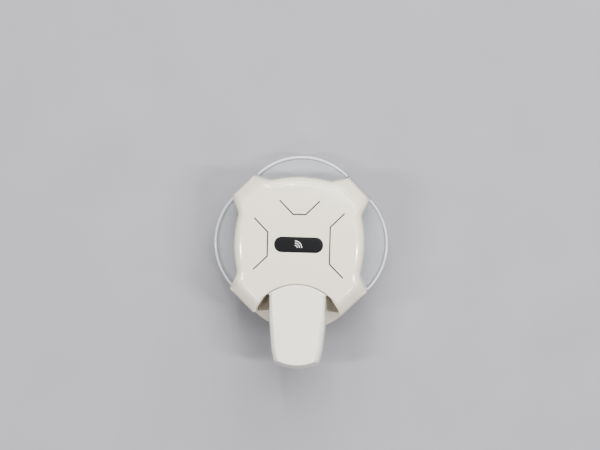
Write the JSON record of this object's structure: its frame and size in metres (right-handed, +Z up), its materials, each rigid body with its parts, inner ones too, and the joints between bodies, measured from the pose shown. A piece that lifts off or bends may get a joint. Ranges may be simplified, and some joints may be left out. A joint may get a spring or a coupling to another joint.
{
  "type": "corner rounder",
  "caption": "Hand-held corner punch with a thumb lever, paper slots that cut different radii, and a clear pull-off chip tray.",
  "frame": {"origin": "middle of the body on the flat underside of the chip tray", "axes": "+Z up through the punches, -Y along the lever towards the thumb, +X towards the 10 mm station"},
  "size_m": [0.0734, 0.0886, 0.041],
  "materials": {
    "ivory_abs": "satin moulded ABS, warm white",
    "clear_plastic": "clear moulded polystyrene",
    "dark_nylon": "glass-filled nylon",
    "tool_steel": "ground tool steel",
    "brushed_steel": "brushed sheet",
    "polished_steel": "polished dowel",
    "spring_wire": "drawn wire",
    "zinc_screws": "zinc plated"
  },
  "bodies": {
    "housing": {"top_cover": "ivory_abs", "lower_housing": "ivory_abs", "pivot_pin": "polished_steel", "die_plate": "brushed_steel", "stripper_plate": "brushed_steel", "die_set_screws": "zinc_screws", "housing_screws": "zinc_screws", "guide_post_front_left": "polished_steel", "guide_post_front_right": "polished_steel", "guide_post_rear_left": "polished_steel", "guide_post_rear_right": "polished_steel", "return_spring_front_left": "spring_wire", "return_spring_front_right": "spring_wire", "return_spring_rear_left": "spring_wire", "return_spring_rear_right": "spring_wire"},
    "lever": {"press_lever": "ivory_abs", "nose_pin": "polished_steel"},
    "carrier": {"punch_carrier": "dark_nylon", "pressure_plate": "brushed_steel", "carrier_screws": "zinc_screws", "punch_r4": "tool_steel", "punch_r7": "tool_steel", "punch_r10": "tool_steel"},
    "tray": {"chip_tray": "clear_plastic"}
  },
  "joints": [
    {"name": "lever_press", "type": "hinge", "parent": "housing", "child": "lever", "pos_m": [0, 0.02, 0.033], "axis": [1, 0, 0], "range_deg": [0, 11.88], "stiffness_Nm_per_rad": 1.14, "springref_deg": -5.09},
    {"name": "punch_slide", "type": "slide", "parent": "housing", "child": "carrier", "axis": [0, 0, -1], "range_m": [0, 0.0036], "deforming": ["return_spring_front_left", "return_spring_front_right", "return_spring_rear_left", "return_spring_rear_right"]},
    {"name": "tray_release", "type": "slide", "parent": "housing", "child": "tray", "axis": [0, 0, -1], "range_m": [0, 0.02]}
  ],
  "couplings": [
    {"joint": "punch_slide", "follows": "lever_press", "m_per_rad": 0.01688}
  ]
}
